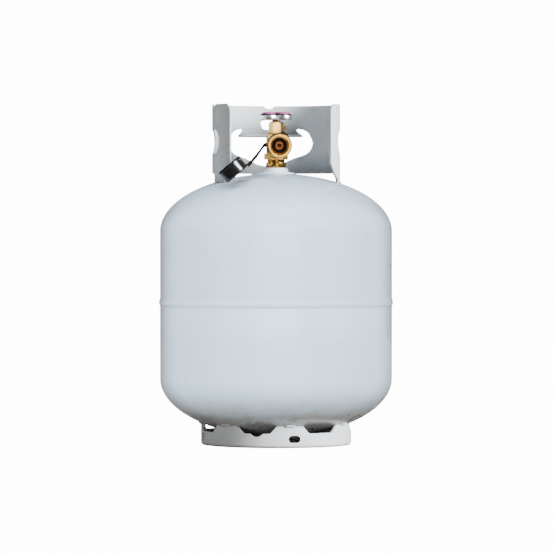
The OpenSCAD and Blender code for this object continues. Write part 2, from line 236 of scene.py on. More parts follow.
def paint(name, base, wear=0.0, peel=0.03, dirt_and_shade=(0.035, 0.0, 0.3), rim=0.0,
          nook_shade=0.0):
    m = Mat(name)
    dark = tuple(c * 0.97 for c in base)
    warm = (base[0] * 0.90, base[1] * 0.86, base[2] * 0.80)
    tone = m.mix(m.span(m.noise(9, 4), 0.35, 0.65, 0, 1), base, dark)
    scuff = m.span(m.noise(90, 6, 0.65), 0.62, 0.8, 0, 0.02)
    col = m.mix(scuff, tone, warm)
    if wear:
        broken = m.span(m.noise(330, 4, 0.65), 0.45, 0.62, 0, 1)
        chip = m.math("MULTIPLY", m.math("MULTIPLY", m.edges(0.0012), broken), wear)
        col = m.mix(chip, col, (0.32, 0.29, 0.26))
    # darker towards the floor: partly grime, partly painted shade standing in for the dim floor below
    sep = m.add("ShaderNodeSeparateXYZ")
    m.link(m.co, sep.inputs[0])
    low = m.span(sep.outputs[2], dirt_and_shade[0], dirt_and_shade[1], 0.0, dirt_and_shade[2])
    grime_and_shade = m.math("MULTIPLY", low, m.span(m.noise(45, 5), 0.35, 0.7, 0.55, 1))
    col = m.mix(grime_and_shade, col, (0.33, 0.27, 0.21))
    # painted shade in nooks: the paint turns near black where nearby surfaces hide it
    if nook_shade:
        ao = m.add("ShaderNodeAmbientOcclusion", samples=8)
        ao.inputs["Distance"].default_value = 0.05
        col = m.mix(m.span(ao.outputs["AO"], 0.84, 0.5, 0, nook_shade), col, (0.085, 0.08, 0.072))
    # painted shade: the paint darkens towards the silhouette, where the wall turns away from the eye
    if rim:
        col = m.mix(m.math("MULTIPLY", m.grazing(), rim), col, (0.26, 0.255, 0.25))
    fine = m.noise(520, 2, 0.5)
    wide = m.noise(38, 2, 0.5)
    n1 = m.bump(fine, peel, 0.0002)
    n2 = m.bump(wide, 0.02, 0.001, n1)
    m.set(Base_Color=col, Roughness=m.span(m.noise(40, 2), 0.3, 0.7, 0.27, 0.31),
          Normal=n2, Coat_Weight=0.35, Coat_Roughness=0.12, IOR=1.5)
    return m.m


def metal(name, base, rough, tarnish_and_shade=None, dirt_and_shade=0.85, bump=0.10, grain=(1, 1, 1)):
    m = Mat(name)
    deep = tarnish_and_shade or tuple(c * 0.55 for c in base)
    blot = m.span(m.noise(170, 5, 0.6), 0.42, 0.72, 0, 0.6)
    col = m.mix(blot, base, tuple(0.5 * (a + b) for a, b in zip(base, deep)))
    # crevices turn to the dark tarnish colour: partly tarnish, partly painted shade
    ao = m.add("ShaderNodeAmbientOcclusion", samples=6)
    ao.inputs["Distance"].default_value = 0.005
    crevice = m.span(ao.outputs["AO"], 0.94, 0.45, 0, dirt_and_shade)
    col = m.mix(crevice, col, deep)
    bright = tuple(min(1, c * 1.18) for c in base)
    col = m.mix(m.math("MULTIPLY", m.edges(0.0006), 0.6), col, bright)
    g = m.noise(900, 3, 0.6, grain)
    cast = m.noise(420, 4, 0.6)
    m.set(Base_Color=col, Metallic=1.0, Normal=m.bump(g, bump, 0.0002, m.bump(cast, bump, 0.0004)),
          Roughness=m.span(m.noise(260, 4), 0.3, 0.7, rough * 0.75, rough * 1.35))
    return m.m


def rubber(name, base, rough=0.42, shine=0.45):
    m = Mat(name)
    lift = tuple(min(1, c * 1.8 + 0.004) for c in base)
    col = m.mix(m.span(m.noise(210, 5, 0.6), 0.45, 0.8, 0, 0.5), base, lift)
    dust = m.math("MULTIPLY", m.edges(0.001), m.span(m.noise(400, 3), 0.4, 0.7, 0, 0.5))
    col = m.mix(dust, col, (0.07, 0.068, 0.065))
    m.set(Base_Color=col, Roughness=m.span(m.noise(150, 4), 0.3, 0.7, rough * 0.8, rough * 1.3),
          Normal=m.bump(m.noise(1400, 3), 0.18, 0.0002), Specular_IOR_Level=shine)
    return m.m


def plastic(name, base, rough=0.3):
    m = Mat(name)
    col = m.mix(m.span(m.noise(120, 4), 0.4, 0.7, 0, 1), base, tuple(c * 0.8 for c in base))
    worn = m.math("MULTIPLY", m.edges(0.0008), m.span(m.noise(500, 3), 0.4, 0.65, 0, 0.7))
    col = m.mix(worn, col, tuple(min(1, c * 1.3 + 0.1) for c in base))
    m.set(Base_Color=col, Roughness=m.span(m.noise(180, 4), 0.3, 0.7, rough * 0.8, rough * 1.3),
          Normal=m.bump(m.noise(1100, 2), 0.1, 0.0002))
    return m.m


# shell_paint and collar_paint darken in nooks as painted shade, shell_paint also towards its silhouette;
# all three paints darken towards the floor, partly grime and partly painted shade
PAINT = paint("shell_paint", (0.56, 0.715, 0.845), dirt_and_shade=(0.072, 0.036, 0.95), peel=0.02,
              rim=0.95, nook_shade=0.55)
COLLAR = paint("collar_paint", (0.52, 0.55, 0.575), wear=0.5, peel=0.14, nook_shade=0.9)
SHEET = paint("sheet_paint", (0.52, 0.55, 0.575), wear=0.5, peel=0.14)
BRASS = metal("cast_brass", (0.70, 0.39, 0.085), 0.22, (0.16, 0.055, 0.01), dirt_and_shade=0.95)
TURNED = metal("turned_brass", (0.80, 0.50, 0.15), 0.18, (0.26, 0.10, 0.02), grain=(1, 1, 12))
# painted shade: the brass inside the outlet bore gets a much darker colour for the shade in the recess
BORE_SHADED_BRASS = metal("inner_brass_painted_shade", (0.30, 0.11, 0.04), 0.36, (0.06, 0.02, 0.008))
CHROME = metal("bright_metal", (0.95, 0.94, 0.97), 0.22, (0.62, 0.60, 0.66), dirt_and_shade=0.9, bump=0.03)
STEEL = metal("plain_steel", (0.56, 0.57, 0.59), 0.3, (0.25, 0.22, 0.20))
RUBBER = rubber("black_rubber", (0.006, 0.006, 0.007), 0.19)
SEAL = rubber("seal_rubber", (0.008, 0.007, 0.007), 0.6, 0.15)
STRAP = rubber("strap_rubber", (0.010, 0.009, 0.010), 0.42)
PINK = plastic("pink_plastic", (0.42, 0.05, 0.24), 0.28)
FLOAT = plastic("float_plastic", (0.03, 0.03, 0.035), 0.5)

# ---- mesh helpers -------------------------------------------------------------------------


def new_object(name, bm, material):
    for f in bm.faces:
        f.smooth = True
    me = bpy.data.meshes.new(name)
    bm.to_mesh(me)
    bm.free()
    o = bpy.data.objects.new(name, me)
    bpy.context.scene.collection.objects.link(o)
    me.materials.append(material)
    return o


def soften(o, width, angle, segments):
    """Round the edges that are sharper than angle."""
    b = o.modifiers.new("Bevel", "BEVEL")
    b.width = width * MM
    b.segments = segments
    b.limit_method = "ANGLE"
    b.angle_limit = math.radians(angle)
    b.harden_normals = True


def finish_mesh(name, bm, material, body, nodes, angle=35.0):
    bmesh.ops.recalc_face_normals(bm, faces=bm.faces)
    o = new_object(name, bm, material)
    o.data.set_sharp_from_angle(angle=math.radians(angle))
    if body:
        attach(o, body)
    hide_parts(*nodes)
    return o


def skin(bm, rings, loop=False):
    """Join neighbouring rings of points. A loop joins the last ring to the first; else both ends close."""
    k = len(rings[0])
    pairs = list(zip(rings, rings[1:]))
    if loop:
        pairs.append((rings[-1], rings[0]))
    for a, b in pairs:
        for j in range(k):
            bm.faces.new((a[j], a[(j + 1) % k], b[(j + 1) % k], b[j]))
    if not loop:
        bm.faces.new(list(reversed(rings[0])))
        bm.faces.new(rings[-1])


def lathe(name, profile, material, body, nodes, seg=192, place=None, ripple=None,
          angle=35.0):
    """profile is a closed loop of (r, z) in mm. ripple(k, a) is point k's offset at angle a, in mm."""
    bm = bmesh.new()
    rings = []
    for i in range(seg):
        a = TAU * i / seg
        ring = []
        for k, (r, z) in enumerate(profile):
            if ripple:
                r += ripple(k, a)
            ring.append(bm.verts.new((r * math.cos(a) * MM, r * math.sin(a) * MM, z * MM)))
        rings.append(ring)
    skin(bm, rings, loop=True)
    bmesh.ops.remove_doubles(bm, verts=bm.verts, dist=1e-7)
    if place:
        bmesh.ops.transform(bm, matrix=place, verts=bm.verts)
    return finish_mesh(name, bm, material, body, nodes, angle)


def arc(cx, cz, r, a0, a1, n):
    return [(cx + r * math.cos(math.radians(a0 + (a1 - a0) * i / n)),
             cz + r * math.sin(math.radians(a0 + (a1 - a0) * i / n))) for i in range(n + 1)]


def dense(loop, step):
    """The same loop with points no further apart than step."""
    out = []
    for i, p in enumerate(loop):
        q = loop[(i + 1) % len(loop)]
        d = math.dist(p, q)
        k = max(1, int(math.ceil(d / step)))
        out += [(p[0] + (q[0] - p[0]) * t / k, p[1] + (q[1] - p[1]) * t / k) for t in range(k)]
    return out


def inside(p, loop):
    """True when the point lies inside the loop."""
    c, x, y = False, p[0], p[1]
    j = len(loop) - 1
    for i in range(len(loop)):
        xi, yi = loop[i]
        xj, yj = loop[j]
        if (yi > y) != (yj > y) and x < (xj - xi) * (y - yi) / (yj - yi) + xi:
            c = not c
        j = i
    return c


def flat_sheet(loops, step, keep_off, extra):
    """Triangles inside loops[0] and outside the other loops, with a regular inner grid."""
    loops = [dense(l, step * 0.62) for l in loops]
    cell = {}
    for l in loops:
        for p in l:
            cell.setdefault((int(p[0] // keep_off), int(p[1] // keep_off)), []).append(p)
    pts, edges = [], []
    for l in loops:
        base = len(pts)
        pts += l
        edges += [(base + i, base + (i + 1) % len(l)) for i in range(len(l))]
    xs = [p[0] for p in loops[0]]
    ys = [p[1] for p in loops[0]]

    def near(p):
        cx, cy = int(p[0] // keep_off), int(p[1] // keep_off)
        return any(math.dist(p, q) < keep_off for i in (-1, 0, 1) for j in (-1, 0, 1)
                   for q in cell.get((cx + i, cy + j), ()))

    nx = int((max(xs) - min(xs)) / step)
    ny = int((max(ys) - min(ys)) / step)
    grid = [(min(xs) + (i + 0.5 * (j % 2)) * (max(xs) - min(xs)) / nx,
             min(ys) + j * (max(ys) - min(ys)) / ny) for i in range(1, nx) for j in range(1, ny)]
    for p in list(extra) + grid:
        if inside(p, loops[0]) and not any(inside(p, l) for l in loops[1:]) and not near(p):
            pts.append(p)
            cell.setdefault((int(p[0] // keep_off), int(p[1] // keep_off)), []).append(p)
    out = geometry.delaunay_2d_cdt([Vector(p) for p in pts], edges, [], 0, 1e-6)
    verts = [(v.x, v.y) for v in out[0]]
    faces = []
    for f in out[2]:
        c = (sum(verts[i][0] for i in f) / 3, sum(verts[i][1] for i in f) / 3)
        if inside(c, loops[0]) and not any(inside(c, l) for l in loops[1:]):
            faces.append(f)
    return verts, faces


def bent_sheet(name, loops, step, keep_off, place, thick, material, body, nodes,
               bevel, extra):
    """A flat blank with holes, bent by place(s, z) and thickened inward."""
    verts, faces = flat_sheet(loops, step, keep_off, extra)
    bm = bmesh.new()
    vs = [bm.verts.new(place(*p)) for p in verts]
    for f in faces:
        bm.faces.new([vs[i] for i in f])
    bmesh.ops.remove_doubles(bm, verts=bm.verts, dist=2e-5)
    bmesh.ops.join_triangles(bm, faces=bm.faces, angle_face_threshold=0.3,
                             angle_shape_threshold=1.2)
    loose = [v for v in bm.verts if not v.link_faces]
    bmesh.ops.delete(bm, geom=loose, context="VERTS")
    bmesh.ops.recalc_face_normals(bm, faces=bm.faces)
    probe = max(bm.faces, key=lambda f: f.calc_center_median().xy.length)
    c = probe.calc_center_median()
    if probe.normal.x * c.x + probe.normal.y * c.y < 0:
        bmesh.ops.reverse_faces(bm, faces=bm.faces)
    o = new_object(name, bm, material)
    s = o.modifiers.new("Thickness", "SOLIDIFY")
    s.thickness = thick * MM
    s.offset = -1
    s.use_even_offset = True
    soften(o, bevel, 50, 3)
    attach(o, body)
    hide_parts(*nodes)
    return o


# ---- shell --------------------------------------------------------------------------------


def ellipse(r, h, zc, r0, r1, n, up=True):
    """Points on a dome from radius r0 to r1, evenly spread in angle."""
    t0, t1 = math.acos(min(1, r0 / r)), math.acos(min(1, r1 / r))
    s = 1 if up else -1
    return [(r * math.cos(t0 + (t1 - t0) * i / n), zc + s * h * math.sin(t0 + (t1 - t0) * i / n))
            for i in range(n + 1)]


upper = ellipse(R, H, Z_HIGH, 19, R, 44) + [(R, Z_HIGH - 30), (R, Z_HIGH - 60), (R, Z_SEAM)]
upper += [(R - T, Z_SEAM), (R - T, Z_HIGH - 40)] + ellipse(R - T, H - T, Z_HIGH, R - T, 19, 30)
lathe("upper_shell", upper, PAINT, "tank", ["upper_head"], seg=256)
# the lower head's edge steps inward and reaches up behind the upper head
ring = [(R - 2 * T - 0.1, Z_SEAM - 2.5), (R - 2 * T - 0.1, Z_SEAM + 10), (R - T - 0.1, Z_SEAM + 10),
        (R - T - 0.1, Z_SEAM - 2), (R, Z_SEAM - 6), (R, Z_SEAM - 50)]
lower = ring + ellipse(R, H, Z_LOW, R, 0, 50, up=False)
lower += ellipse(R - T, H - T, Z_LOW, 0, R - T, 36, up=False) + [(R - T, Z_SEAM - 40),
                                                              (R - T, Z_SEAM - 6.5)]
lathe("lower_shell", lower, PAINT, "tank", ["lower_head"], seg=256)

rng = random.Random(11)
wob = [rng.uniform(-1, 1) for _ in range(64)]


def smooth_noise(a):
    """Seeded noise round the axis, from -1 to 1."""
    x = a / TAU * len(wob)
    i = int(x)
    t = x - i
    t = t * t * (3 - 2 * t)
    return wob[i % len(wob)] * (1 - t) + wob[(i + 1) % len(wob)] * t


# the girth bead: a low arc 5.2 mm to each side of the seam
bead_r = 12.3
half = 5.2
z_bead = Z_SEAM - 1
bead = [(R - 1.0, z_bead - half - 0.5), (R + 0.06, z_bead - half)]
for i in range(1, 12):
    z = -half + 2 * half * i / 12
    bead.append((R + 1.3 - bead_r + math.sqrt(bead_r ** 2 - z * z), z_bead + z))
bead += [(R + 0.06, z_bead + half), (R - 1.0, z_bead + half + 0.3)]


def bead_ripple(k, a):
    if k < 2 or k > 12:
        return 0.0
    edge = 1 - abs(k - 7) / 6
    phase = a * 330 + 0.9 * edge
    return edge * (0.07 * math.sin(phase) + 0.08 * smooth_noise(a)) - 0.1 * (1 - edge)


lathe("girth_weld", bead, PAINT, "tank", ["seam_weld"], seg=1980, ripple=bead_ripple,
      angle=60)

# the neck boss, and the fillet weld round it from weld_r outward
za = Z_APEX
weld_r = 24.05
boss = [(12.55, za - 8), (18.9, za - 8), (18.9, za - 0.6), (22, za - 0.8), (24, dome_top(24) + 0.06),
        (24, za + 0.5), (23.7, za + 0.85), (22.9, za + 0.95)]
boss += [(x, z) for x, z in arc(21.5, za + 6.8, 6.0, -80, -178, 14)]
boss += [(15, za + 6.9), (14.6, za + 7.4), (14.1, za + 7.5), (12.9, za + 7.5), (12.55, za + 7.2)]
lathe("neck", boss, SHEET, "tank", ["neck_boss"], seg=128, angle=50)


def fillet_ripple(k, a):
    return 0.12 * math.sin(a * 62 + k * 0.7) + 0.12 * smooth_noise(a * 2) if 1 <= k <= 6 else 0.0


fil = [(weld_r, dome_top(24) + 0.1), (weld_r, za + 0.95)]
fil += [(weld_r + 3.4 * t, za + 0.95 - (za + 0.95 - dome_top(27.5) - 0.12) * (t ** 0.8))
        for t in (0.15, 0.32, 0.5, 0.68, 0.85, 1)]
lathe("neck_weld", fil, PAINT, "tank", ["boss_weld"], seg=372, ripple=fillet_ripple,
      angle=60)

# ---- collar: a flat blank with its cut-outs, rolled to a cylinder --------------------------

# half the front opening's angle; s runs round the collar from the middle of that opening
gap = math.radians(52)
s0, s1 = RC * gap, RC * (TAU - gap)
s_back = RC * math.pi


def at(deg):
    return RC * math.radians(deg)


def wing(sign):
    """The front end of one wing, from the rim down to its foot and round to the foot's back edge."""
    pts = arc(11, Z_RIM - 11, 11, 90, 180, 9)
    if sign > 0:
        pts += [(0, ZC + 13.5), (0.5, ZC + 12), (7.2, ZC + 2.2), (13.6, ZC - 3.4),
                (18.8, ZC - 6.9), (20.6, ZC - 9.4), (21.1, ZC - 12.6)]
    else:
        pts += [(0, ZC + 13.5), (0.5, ZC + 12), (9.6, ZC - 2.2), (11.4, ZC - 6.5), (12, ZC - 12.6)]
    pts += [(41.8, ZC - 12.6), (41.8, ZC - 7)]
    pts += arc(48.8, ZC - 7, 7, 180, 90, 6)[1:]
    return [(s0 + x, z) if sign > 0 else (s1 - x, z) for x, z in pts]


left_end = wing(1)
right_end = wing(-1)
foot = [(-24.8, ZC), (-17.9 - 3, ZC - 2.1), (-17.9, ZC - 7), (-17.9, ZC - 12.6)]
back_foot = [(s_back + x, z) for x, z in foot] + [(s_back - x, z) for x, z in reversed(foot)]
rim = []
for deg in (278, 180, 82):
    rim += [(at(deg) + x, Z_RIM - d) for x, d in
            ((8.2, 0), (7.0, 0.5), (4.0, 3.1), (1.6, 3.9), (-1.6, 3.9), (-4.0, 3.1), (-7.0, 0.5),
             (-8.2, 0))]
outer = left_end + back_foot + list(reversed(right_end)) + rim

# the back hand hole's rolled grip lip: where the bend starts, its radius and its length
ROOT_RISE = 16.8
ROOT = HAND + ROOT_RISE
ROLL = 9.35
REACH = ROLL * math.radians(128)


def arc_x(x):
    """Length along the collar's sheet of a point seen x from the axis."""
    return RC * math.asin(x / RC)


open_half = [(0, -31.5), (9, -30.8), (17, -28.8), (25, -24.8), (32.5, -21.4), (41, -18.6),
             (49.5, -15.5), (54, -12), (57.5, -6), (58.7, -1), (57.5, 4), (54, 12), (51, 15),
             (47, 17.2), (43, 18.3), (39, 18.6), (37.2, 18.0)]
lip_half = [(38.2, 15.2), (42.5, 11.0), (47.0, 6.0), (49.0, 1.0), (49.2, -1.5), (48.2, -3.2),
            (46.0, ROOT_RISE - REACH)]
right_side = [(arc_x(x), HAND + z) for x, z in open_half + lip_half]
opening = [(s_back + x, z) for x, z in right_side]
opening += [(s_back - x, z) for x, z in reversed(right_side[1:])]


def rounded(pts, r):
    """The same loop with each corner rounded over a length r."""
    n = 3
    out = []
    k = len(pts)
    for i in range(k):
        a, b, c = Vector(pts[i - 1]), Vector(pts[i]), Vector(pts[(i + 1) % k])
        u, v = (a - b), (c - b)
        d = min(r, u.length * 0.45, v.length * 0.45)
        p, q = b + u.normalized() * d, b + v.normalized() * d
        for j in range(n + 1):
            t = j / n
            w = p * (1 - t) ** 2 + b * 2 * t * (1 - t) + q * t * t
            out.append((w.x, w.y))
    return out


opening = rounded(opening, 1.6)
shield = rounded([(s_back + x, HAND + z) for x, z in
                  ((-12.2, 28), (-8, 30.8), (8, 30.8), (12.2, 28), (9.2, 20), (6.4, 17.9),
                   (-6.4, 17.9), (-9.2, 20))], 2.2)
side_holes = []
for deg in (90, 270):
    c = at(deg)
    w = arc_x(30.5) - 16
    side_holes.append([(c + w + x, HAND + z) for x, z in arc(0, 0, 16, -90, 90, 18)]
                      + [(c - w + x, HAND + z) for x, z in arc(0, 0, 16, 90, 270, 18)])


def collar_place(s, z):
    """The collar's blank rolled round its axis, with the grip lip curled inward and pressed."""
    a = s / RC
    r, h = RC, z
    if z < ROOT and abs(s - s_back) < 56 and z > ROOT - REACH - 1:
        x = abs(s - s_back)
        t = ROOT - z
        edge = 41 + min(t, 14) * 1.15
        if x < edge:
            b = t / ROLL
            r = RC - ROLL + ROLL * math.cos(b)
            h = ROOT - ROLL * math.sin(b)
            v = max(0.0, 1 - x / max(2.5, 8.2 - 0.33 * t))
            press = 1.1 * min(1, v * 2.5) * min(1, t / 1.5) * max(0.0, min(1, (16 - t) / 2))
            r -= press * math.cos(b)
            h += press * math.sin(b)
    return Vector((r * math.sin(a), -r * math.cos(a), h)) * MM


lip_grid = [(s_back + i * 1.5, ROOT - 0.3 - j * 1.45) for i in range(-34, 35) for j in range(15)]
bent_sheet("collar_sheet", [outer, opening, shield] + side_holes, 4.2, 1.0, collar_place, TC, COLLAR,
           "tank", ["collar"], bevel=0.55, extra=lip_grid)

# ---- foot ring ----------------------------------------------------------------------------

# seven scallops; TURN is where the front one sits, BEND the radius of the curl at the floor
SCALLOPS = 7
PITCH = TAU / SCALLOPS
TURN = math.radians(-21.8)
BEND = 3.6
BLANK_LOW = BEND - BEND * math.pi / 2 - 4.0
TOP = dome_bottom(RF) - 0.25
start = TURN - PITCH * SCALLOPS / 2
top_edge = []
for i in range(-3, 4):
    c = RF * (TURN + PITCH * i)
    cut = [(-27.4, TOP), (-26.6, TOP - 1.2), (-19.2, 19.6), (-17.8, 18.8), (17.8, 18.8),
           (19.2, 19.6), (26.6, TOP - 1.2), (27.4, TOP)]
    if i == 0:
        cut = cut[:4] + [(-9.6, 18.8), (-8.2, 18.0), (-5.2, 15.6), (-2, 14.6), (2, 14.6), (5.2, 15.6),
                         (8.2, 18.0), (9.6, 18.8)] + cut[4:]
    top_edge += [(c + x, z) for x, z in cut]
a0 = RF * start
a1 = a0 + RF * TAU
outline = [(a0, BLANK_LOW), (a1, BLANK_LOW), (a1, TOP)] + list(reversed(top_edge)) + [(a0, TOP)]
slots = []
for k in range(4):
    c = RF * math.radians(7.4 + 90 * k)
    while c < a0 + 12:
        c += RF * TAU
    while c > a1 - 12:
        c -= RF * TAU
    slots.append([(c + 3.3 + x, 11.5 + z) for x, z in arc(0, 0, 4.7, -90, 90, 12)]
                 + [(c - 3.3 + x, 11.5 + z) for x, z in arc(0, 0, 4.7, 90, 270, 12)])


def foot_place(s, z):
    """The foot ring's blank rolled round the axis, with its lower edge curled inward on the floor."""
    a = s / RF
    r, h = RF, z
    if z < BEND:
        t = BEND - z
        q = BEND * math.pi / 2
        if t < q:
            r = RF - BEND + BEND * math.cos(t / BEND)
            h = BEND - BEND * math.sin(t / BEND)
        else:
            r = RF - BEND - (t - q)
            h = 0.0
    return Vector((r * math.sin(a), -r * math.cos(a), h)) * MM


curl = [(a0 + (a1 - a0) * i / 230, BEND - j * 0.95) for i in range(1, 230) for j in range(0, 9)]
bent_sheet("foot_sheet", [outline] + slots, 3.6, 0.7, foot_place, TF, SHEET, "tank", ["foot_ring"],
           bevel=0.4, extra=curl)

# ---- weld beads where the sheets meet the shell --------------------------------------------


def bead_run(bm, radius_at, z_at, a0, a1, w, h, tilt, seed):
    """A ripple-topped bead along an arc; w is its half width, h its height, tilt its lean."""
    rr = random.Random(seed)
    n = max(24, int((a1 - a0) * radius_at / 0.35))
    k = 9
    rows = []
    for i in range(n + 1):
        t = i / n
        a = a0 + (a1 - a0) * t
        end = math.sin(math.pi * min(1, max(0, min(t, 1 - t) * 5)) / 2) ** 0.7
        wob_w = 1 + 0.12 * math.sin(t * 19 + seed) + 0.05 * rr.uniform(-1, 1)
        row = []
        for j in range(k):
            u = -1 + 2 * j / (k - 1)
            hh = h * end * math.sqrt(max(0, 1 - u * u)) * (1 + 0.10 * math.sin(a * radius_at * 2.6 + u))
            ww = w * u * wob_w * (0.35 + 0.65 * end)
            r = radius_at + ww * math.cos(tilt) + hh * math.sin(tilt)
            z = z_at - ww * math.sin(tilt) + hh * math.cos(tilt)
            row.append(bm.verts.new(Vector((r * math.sin(a), -r * math.cos(a), z)) * MM))
        rows.append(row)
    skin(bm, rows)


bm = bmesh.new()
for i, (lo, hi) in enumerate(((62, 78), (172, 188), (282, 291))):
    r = RC + 1.3
    bead_run(bm, r, dome_top(r) + 0.55, math.radians(lo), math.radians(hi), 1.75, 1.5, 0.75, i + 1)
finish_mesh("collar_beads", bm, COLLAR, "tank", ["collar_welds"], angle=60)
bm = bmesh.new()
for i in range(SCALLOPS):
    mid = TURN + PITCH * (i + 0.5)
    r = RF + 1.5
    bead_run(bm, r, dome_bottom(r) - 0.5, mid - math.radians(3.7), mid + math.radians(3.7), 2.3, 1.4,
             2.15, i + 5)
finish_mesh("foot_beads", bm, SHEET, "tank", ["foot_ring_welds"], angle=60)

# ---- carried-over CAD nodes ---------------------------------------------------------------

FINISH = {
    "valve_body": BRASS, "bonnet_nut": TURNED, "stem_o_ring": RUBBER, "upper_stem": TURNED,
    "seat_plug": TURNED, "seat_disc": RUBBER, "handwheel_screw": STEEL, "check_retainer": BORE_SHADED_BRASS,
    "outlet_seal": SEAL, "check_poppet": BORE_SHADED_BRASS, "relief_cap": TURNED, "relief_poppet": TURNED,
    "bleeder_screw": TURNED, "dip_tube": STEEL, "stop_housing": TURNED, "stop_piston": TURNED,
    "float_arm": STEEL, "float": FLOAT, "float_pin": STEEL,
}
SOFT_EDGE = {"valve_body": 0.45, "bonnet_nut": 0.4, "handwheel_screw": 0.25, "bleeder_screw": 0.3,
             "relief_cap": 0.25, "check_retainer": 0.2, "check_poppet": 0.2, "upper_stem": 0.2}
for name, material in FINISH.items():
    o = frame["nodes"][name]
    o.data.materials.clear()
    o.data.materials.append(material)
    if name in SOFT_EDGE:
        w = o.modifiers.new("Weld", "WELD")
        w.merge_threshold = 2e-6
        soften(o, SOFT_EDGE[name], 28, 2)

# ---- handwheel ----------------------------------------------------------------------------


def lobe_outline(grow):
    """Distance from the stem to the wheel's edge at each of LOBE_STEPS angles."""
    out = []
    for i in range(LOBE_STEPS):
        a = TAU * i / LOBE_STEPS
        best = LOBE_OFFSET + grow
        for k in range(3):
            c = math.radians(LOBE_TURN + 120 * k)
            d = a - c
            s = LOBE_OFFSET * math.sin(d)
            r = LOBE_R + grow
            if abs(s) < r and math.cos(d) > -0.2:
                best = max(best, LOBE_OFFSET * math.cos(d) + math.sqrt(r * r - s * s))
        out.append(best)
    for _ in range(2):
        out = [(out[i - 1] + 2 * out[i] + out[(i + 1) % LOBE_STEPS]) / 4
               for i in range(LOBE_STEPS)]
    return out


def lobed(name, layers, material, nodes):
    """layers is (grow, z, scale): rings stacked into a closed shape, each shrunk by its scale."""
    bm = bmesh.new()
    rows = []
    for grow, z, scale in layers:
        row = []
        for i, radius in enumerate(lobe_outline(grow)):
            a = TAU * i / LOBE_STEPS
            r = radius * scale
            row.append(bm.verts.new(Vector((r * math.cos(a), r * math.sin(a), z)) * MM))
        rows.append(row)
    skin(bm, rows, loop=True)
    return finish_mesh(name, bm, material, "wheel", nodes, angle=42)


zw = Z_WHEEL
shellw = [(-2.5, zw + 0.3, 1), (-2.2, zw + 0.05, 1), (-0.9, zw, 1), (-0.25, zw + 0.35, 1),
          (0, zw + 1.1, 1), (0, zw + 4.6, 1), (-0.15, zw + 6.0, 1), (-0.8, zw + 7.1, 1),
          (-1.9, zw + 7.7, 1), (-2.9, zw + 7.85, 1), (-3.1, zw + 7.6, 1), (-3.15, zw + 6.95, 1),
          (-3.15, zw + 6.9, 0.5), (-3.15, zw + 6.9, 0.17), (-3.15, zw - 1.4, 0.17),
          (-3.15, zw - 1.55, 0.19), (-3.15, zw - 1.6, 0.24), (-3.15, zw - 1.5, 0.3),
          (-3.15, zw - 1.1, 0.325), (-3.15, zw + 2, 0.34), (-3.15, zw + 4.2, 0.36),
          (-3.15, zw + 4.75, 0.45), (-3.3, zw + 4.8, 0.9), (-2.8, zw + 4.5, 1), (-2.5, zw + 3.8, 1)]
lobed("wheel_shell", shellw, CHROME, ["handwheel"])
disc = [(-3.3, zw + 7.05, 1), (-3.2, zw + 7.3, 1), (-3.2, zw + 8.5, 1), (-3.6, zw + 9.2, 1),
        (-4.6, zw + 9.65, 1), (-4.6, zw + 10.0, 0.8), (-4.6, zw + 10.15, 0.42),
        (-4.6, zw + 9.9, 0.385), (-4.6, zw + 7.4, 0.38), (-4.6, zw + 7.05, 0.38)]
lobed("wheel_disc", disc, PINK, ["handwheel_disc"])

# ---- springs ------------------------------------------------------------------------------


def spring(name, y0, y1, z, r, wire, turns, node):
    """A coil along y, r from its axis to the middle of the wire; wire is the wire's radius."""
    bm = bmesh.new()
    n, k = int(turns * 36), 10
    rows = []
    for i in range(n + 1):
        t = i / n
        lead = t + 0.02 * math.sin(TAU * t)
        a = TAU * turns * t
        c = Vector((r * math.cos(a), y0 + (y1 - y0) * lead, z + r * math.sin(a)))
        out = Vector((math.cos(a), 0, math.sin(a)))
        rows.append([bm.verts.new((c + (out * math.cos(TAU * j / k)
                                        + Vector((0, 1, 0)) * math.sin(TAU * j / k)) * wire) * MM)
                     for j in range(k)])
    skin(bm, rows)
    return finish_mesh(name, bm, STEEL, "tank", [node], angle=60)


for node, turns, joint, travel in (("check_spring", 5, "check_push", 4.0),
                                   ("relief_spring", 4, "relief_lift", 2.0)):
    lo, hi = cad(node)
    mid = (lo.z + hi.z) / 2
    edge = 0.55
    r = (hi.z - lo.z) / 2 - edge
    coil = spring(node + "_coil", lo.y + edge, hi.y - edge, mid, r, 0.5, turns, node)
    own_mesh(coil)

# ---- dust cap, strap and loop --------------------------------------------------------------

cap_axis = Vector((0.640, -0.075, -0.764)).normalized()
lo, hi = cad("dust_cap")
cap_mid = (lo + hi) / 2
spin = Matrix.Rotation(math.atan2(cap_axis.y, cap_axis.x), 4, "Z")
tilt = Matrix.Rotation(math.acos(cap_axis.z), 4, "Y")
place = Matrix.Translation(cap_mid * MM) @ spin @ tilt
# the cap's radius and half its length
cr, cl = 17.6, 9.0
cup = [(0, cl), (cr - 4.6, cl), (cr - 4.2, cl - 0.35), (cr - 3.5, cl - 0.35), (cr - 3.1, cl),
       (cr - 1.6, cl), (cr - 0.7, cl - 0.3), (cr - 0.15, cl - 1.0), (cr, cl - 1.9),
       (cr, cl - 5.2), (cr - 0.35, cl - 5.5), (cr - 0.35, -cl + 3.4), (cr, -cl + 3.1),
       (cr, -cl + 0.9), (cr - 0.3, -cl + 0.3), (cr - 0.9, -cl), (cr - 2.6, -cl),
       (cr - 3.2, -cl + 0.4), (cr - 3.3, -cl + 1.2), (cr - 2.9, -cl + 2.2), (cr - 1.75, -cl + 2.6),
       (cr - 1.7, cl - 2.4), (cr - 2.1, cl - 2.0), (0, cl - 2.0)]
lathe("cap_cup", cup, RUBBER, "cap", ["dust_cap"], place=place, angle=45)

loop_y = (cad("strap_loop")[0].y + cad("strap_loop")[1].y) / 2


def lug_at(a, deg, half, reach):
    """A flat-topped lug on the loop's edge, centred on an angle."""
    d = abs((math.degrees(a) - deg + 180) % 360 - 180)
    return reach * max(0.0, min(1.0, (half - d) / 3.2)) ** 0.5


